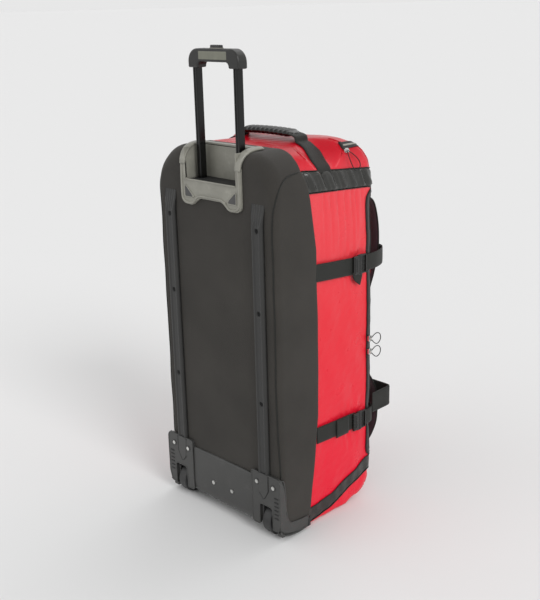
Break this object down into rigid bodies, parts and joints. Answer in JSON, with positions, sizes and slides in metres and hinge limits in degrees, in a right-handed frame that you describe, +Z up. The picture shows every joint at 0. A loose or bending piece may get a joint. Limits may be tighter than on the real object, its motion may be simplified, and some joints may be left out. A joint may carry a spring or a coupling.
{
  "type": "rolling duffel bag",
  "caption": "Upright wheeled duffel bag with a padded back tray, soft shell, extending trolley handle, back rails, compression straps and carry straps.",
  "frame": {"origin": "on the floor, under the middle of the bag's bounding box, with the free zip cords left out", "axes": "+Z up along the bag and its handle, +X across the bag, +Y from the wheeled back towards the lid"},
  "size_m": [0.377, 0.388, 1.041],
  "materials": {
    "base_fabric": "black padded polyester, matt",
    "red_tarp": "red coated tarpaulin, satin",
    "black_tarp": "black coated tarpaulin, glossy",
    "webbing": "black woven webbing",
    "strap_pad": "dark padded mesh fabric",
    "zip_tape": "black zip tape with coil",
    "cord": "thin black braided cord",
    "moulding": "dark grey moulded polypropylene, fine texture",
    "bezel": "olive grey moulded plastic, satin",
    "grip": "black moulded grip, satin",
    "grip_insert": "grey olive insert",
    "button": "black button",
    "buckle": "black acetal",
    "rubber": "black soft rubber",
    "tyre": "dark grey polyurethane",
    "hub": "grey nylon",
    "tube": "black anodised aluminium",
    "guide": "mill aluminium",
    "steel": "bright steel",
    "board": "stiff polyethylene sheet",
    "internal": "black nylon"
  },
  "bodies": {
    "bag": {"base_tray": "base_fabric", "red_shell": "red_tarp", "lid_panel": "red_tarp", "main_zip": "zip_tape", "upper_band": "black_tarp", "lower_band": "black_tarp", "trolley_bezel": "bezel", "guide_bracket": "internal", "back_board": "board", "rail_screws": "steel", "kick_plate": "moulding", "kick_plate_rivets": "steel", "housing_rivets": "steel", "buckle_sockets": "buckle", "buckle_plugs": "buckle", "haul_webbing": "webbing", "haul_grip": "rubber", "end_zip": "zip_tape", "guide_tube_left": "guide", "rail_left": "moulding", "wheel_housing_left": "moulding", "axle_left": "steel", "shoulder_strap_left": "strap_pad", "grab_loop_left": "webbing", "side_strap_upper_left": "webbing", "side_strap_lower_left": "webbing", "guide_tube_right": "guide", "rail_right": "moulding", "wheel_housing_right": "moulding", "axle_right": "steel", "shoulder_strap_right": "strap_pad", "grab_loop_right": "webbing", "side_strap_upper_right": "webbing", "side_strap_lower_right": "webbing", "front_strap_upper": "webbing", "front_strap_lower": "webbing"},
    "wheel_left": {"wheel_tyre_left": "tyre", "wheel_hub_left": "hub", "wheel_bearings_left": "steel"},
    "wheel_right": {"wheel_tyre_right": "tyre", "wheel_hub_right": "hub", "wheel_bearings_right": "steel"},
    "trolley": {"inner_tube_left": "tube", "inner_tube_right": "tube", "tube_plug_left": "internal", "tube_plug_right": "internal", "lock_pins": "steel", "grip_back_shell": "grip", "grip_front_shell": "grip", "grip_insert": "grip_insert", "button_spring": "steel"},
    "button": {"release_button": "button", "push_rods": "steel"},
    "end_slider": {"end_slider": "steel", "end_pull_cord": "cord"},
    "main_slider_upper": {"main_slider_upper": "steel", "main_pull_cord_upper": "cord"},
    "main_slider_lower": {"main_slider_lower": "steel", "main_pull_cord_lower": "cord"}
  },
  "joints": [
    {"name": "handle_slide", "type": "slide", "parent": "bag", "child": "trolley", "axis": [0, 0, 1], "range_m": [-0.228, 0]},
    {"name": "button_press", "type": "slide", "parent": "trolley", "child": "button", "axis": [0, 0, -1], "range_m": [0, 0.004], "stiffness_N_per_m": 900, "springref_m": -0.003, "deforming": ["button_spring"]},
    {"name": "wheel_left_spin", "type": "hinge", "parent": "bag", "child": "wheel_left", "pos_m": [-0.143, -0.158, 0.036], "axis": [1, 0, 0], "continuous": true},
    {"name": "wheel_right_spin", "type": "hinge", "parent": "bag", "child": "wheel_right", "pos_m": [0.143, -0.158, 0.036], "axis": [1, 0, 0], "continuous": true},
    {"name": "end_zip_slide", "type": "slide", "parent": "bag", "child": "end_slider", "axis": [0, 1, 0], "range_m": [0, 0.045]},
    {"name": "main_zip_slide_upper", "type": "slide", "parent": "bag", "child": "main_slider_upper", "axis": [0, 0, 1], "range_m": [0, 0.14]},
    {"name": "main_zip_slide_lower", "type": "slide", "parent": "bag", "child": "main_slider_lower", "axis": [0, 0, 1], "range_m": [-0.085, 0]}
  ]
}
